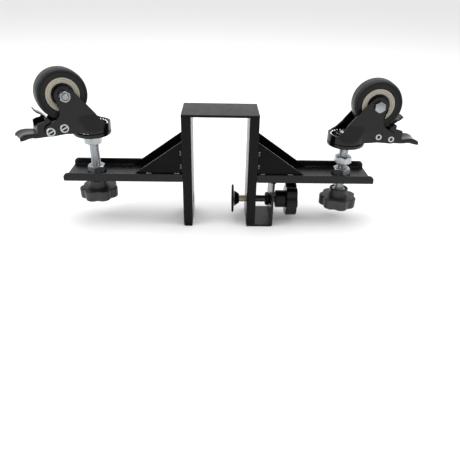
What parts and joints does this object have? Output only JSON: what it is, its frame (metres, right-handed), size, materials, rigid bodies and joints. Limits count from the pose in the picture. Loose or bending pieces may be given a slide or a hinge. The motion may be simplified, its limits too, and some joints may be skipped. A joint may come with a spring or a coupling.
{
  "type": "clamp-on wheel dolly bracket",
  "caption": "Sheet-steel saddle that clamps over a panel's edge, with a screw-clamp pad and a height-adjustable braked swivel caster on an arm at each side.",
  "frame": {"origin": "middle of the saddle's seat, the underside of the bridge plate that rests on the panel's edge", "axes": "+X along both arms towards the clamp side, +Y along the panel's edge, away from the front gussets, +Z out of the bridge's top face; the part stands on its two saddle legs with the casters pointing up, so in use +Z points at the ground"},
  "size_m": [0.4198, 0.0705, 0.1692],
  "materials": {
    "black_coat": "satin black powder coat",
    "black_stamping": "gloss black electro-coat",
    "zinc": "bright zinc plate",
    "warm_zinc": "warm passivated zinc plate",
    "knob_plastic": "moulded black plastic, satin",
    "tread_rubber": "dark polyurethane tread",
    "core_nylon": "cream moulded nylon",
    "seal_black": "black bearing seal",
    "bright_steel": "polished steel"
  },
  "bodies": {
    "root": {"bridge_plate": "black_coat", "left_leg_channel": "black_coat", "right_leg_channel": "black_coat", "left_foot_plate": "black_coat", "clamp_box": "black_coat", "left_arm_channel": "black_coat", "right_arm_channel": "black_coat", "left_front_gusset": "black_coat", "left_rear_gusset": "black_coat", "right_front_gusset": "black_coat", "right_rear_gusset": "black_coat", "left_weld_nut": "zinc", "right_weld_nut": "zinc", "clamp_weld_nut": "black_coat"},
    "left_race_carrier": {"left_main_ball_ring": "bright_steel", "left_upper_ball_ring": "bright_steel"},
    "left_stem_body": {"left_stem": "zinc", "left_height_knob": "knob_plastic", "left_top_race": "black_stamping", "left_retainer_cup": "black_stamping"},
    "left_lock_nut_body": {"left_lock_nut": "zinc"},
    "left_fork_body": {"left_fork": "black_stamping", "left_brake_pivot_rivet": "zinc", "left_fork_rivet": "zinc", "left_axle_bolt": "zinc", "left_axle_nut": "zinc", "left_axle_sleeve": "bright_steel", "left_brake_spring": "bright_steel"},
    "left_wheel": {"left_tyre": "tread_rubber", "left_wheel_core": "core_nylon", "left_outer_bearing": "seal_black", "left_inner_bearing": "seal_black"},
    "left_lever": {"left_brake_lever": "black_stamping"},
    "right_race_carrier": {"right_main_ball_ring": "bright_steel", "right_upper_ball_ring": "bright_steel"},
    "right_stem_body": {"right_stem": "zinc", "right_height_knob": "knob_plastic", "right_top_race": "black_stamping", "right_retainer_cup": "black_stamping"},
    "right_lock_nut_body": {"right_lock_nut": "zinc"},
    "right_fork_body": {"right_fork": "black_stamping", "right_brake_pivot_rivet": "zinc", "right_fork_rivet": "zinc", "right_axle_bolt": "zinc", "right_axle_nut": "zinc", "right_axle_sleeve": "bright_steel", "right_brake_spring": "bright_steel"},
    "right_wheel": {"right_tyre": "tread_rubber", "right_wheel_core": "core_nylon", "right_outer_bearing": "seal_black", "right_inner_bearing": "seal_black"},
    "right_lever": {"right_brake_lever": "black_stamping"},
    "clamp_pad": {"clamp_pad_disc": "black_stamping", "clamp_pad_cup": "black_stamping"},
    "clamp_screw_body": {"clamp_screw": "warm_zinc", "clamp_knob": "knob_plastic"}
  },
  "joints": [
    {"name": "left_height", "type": "slide", "parent": "root", "child": "left_race_carrier", "axis": [0, 0, 1], "range_m": [-0.0203, 0.0053]},
    {"name": "left_stem_turn", "type": "hinge", "parent": "left_race_carrier", "child": "left_stem_body", "pos_m": [-0.1365, 0, -0.0278], "axis": [0, 0, 1], "range_deg": [-4873, 1273]},
    {"name": "left_lock_nut_travel", "type": "slide", "parent": "left_stem_body", "child": "left_lock_nut_body", "axis": [0, 0, 1], "range_m": [-0.004, 0]},
    {"name": "left_swivel", "type": "hinge", "parent": "left_race_carrier", "child": "left_fork_body", "pos_m": [-0.1365, 0, -0.0278], "axis": [0, 0, 1], "continuous": true},
    {"name": "left_wheel_spin", "type": "hinge", "parent": "left_fork_body", "child": "left_wheel", "pos_m": [-0.15968, -0.01285, 0.0197], "axis": [0.4848, -0.8746, 0], "continuous": true},
    {"name": "left_brake", "type": "hinge", "parent": "left_fork_body", "child": "left_lever", "pos_m": [-0.17516, -0.02143, -0.014], "axis": [-0.4848, 0.8746, 0], "range_deg": [0, 9.5]},
    {"name": "right_height", "type": "slide", "parent": "root", "child": "right_race_carrier", "axis": [0, 0, 1], "range_m": [-0.0054, 0.0137]},
    {"name": "right_stem_turn", "type": "hinge", "parent": "right_race_carrier", "child": "right_stem_body", "pos_m": [0.1365, 0, -0.0362], "axis": [0, 0, 1], "range_deg": [-1297, 3289]},
    {"name": "right_lock_nut_travel", "type": "slide", "parent": "right_stem_body", "child": "right_lock_nut_body", "axis": [0, 0, 1], "range_m": [0, 0.0105]},
    {"name": "right_swivel", "type": "hinge", "parent": "right_race_carrier", "child": "right_fork_body", "pos_m": [0.1365, 0, -0.0362], "axis": [0, 0, 1], "continuous": true},
    {"name": "right_wheel_spin", "type": "hinge", "parent": "right_fork_body", "child": "right_wheel", "pos_m": [0.16297, -0.0012, 0.0113], "axis": [0.0454, 0.999, 0], "continuous": true},
    {"name": "right_brake", "type": "hinge", "parent": "right_fork_body", "child": "right_lever", "pos_m": [0.18065, -0.002, -0.0224], "axis": [-0.0454, -0.999, 0], "range_deg": [0, 9.5]},
    {"name": "clamp_feed", "type": "slide", "parent": "root", "child": "clamp_pad", "axis": [-1, 0, 0], "range_m": [-0.0074, 0.0037]},
    {"name": "clamp_turn", "type": "hinge", "parent": "clamp_pad", "child": "clamp_screw_body", "pos_m": [0.0225, 0, -0.1005], "axis": [-1, 0, 0], "range_deg": [-2133, 1067]}
  ],
  "couplings": [
    {"joint": "left_stem_turn", "follows": "left_height", "rad_per_m": 4188.8},
    {"joint": "right_stem_turn", "follows": "right_height", "rad_per_m": 4188.8},
    {"joint": "clamp_turn", "follows": "clamp_feed", "rad_per_m": 5026.5}
  ]
}
